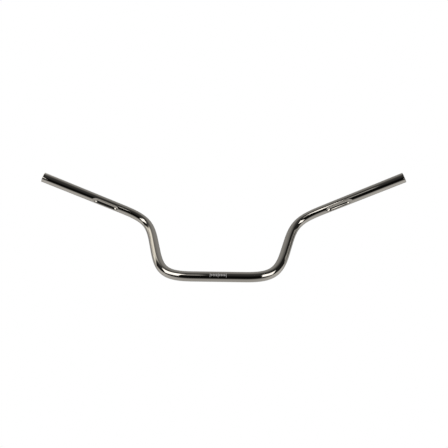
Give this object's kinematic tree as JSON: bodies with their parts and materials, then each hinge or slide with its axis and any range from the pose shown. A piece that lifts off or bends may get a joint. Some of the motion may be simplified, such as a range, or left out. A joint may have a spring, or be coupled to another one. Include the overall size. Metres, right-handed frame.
{
  "type": "motorcycle handlebar",
  "caption": "Bent steel motorcycle handlebar with a straight clamp section, raised and swept-back grips, cable grooves and a printed centring scale.",
  "frame": {"origin": "middle of the clamp section, at the lowest line of the tube, where it rests on the lower half of the handlebar clamp", "axes": "+X to the rider's right along the clamp section, +Y forward, +Z the way the bar rises from the clamp section to the grips"},
  "size_m": [0.9346, 0.1827, 0.2199],
  "materials": {
    "chromed_steel": "polished chrome plate over bent steel tube",
    "mark_ink": "matt light-grey print"
  },
  "bodies": {
    "root": {"bar_tube": "chromed_steel", "centre_mark": "mark_ink"}
  },
  "joints": []
}
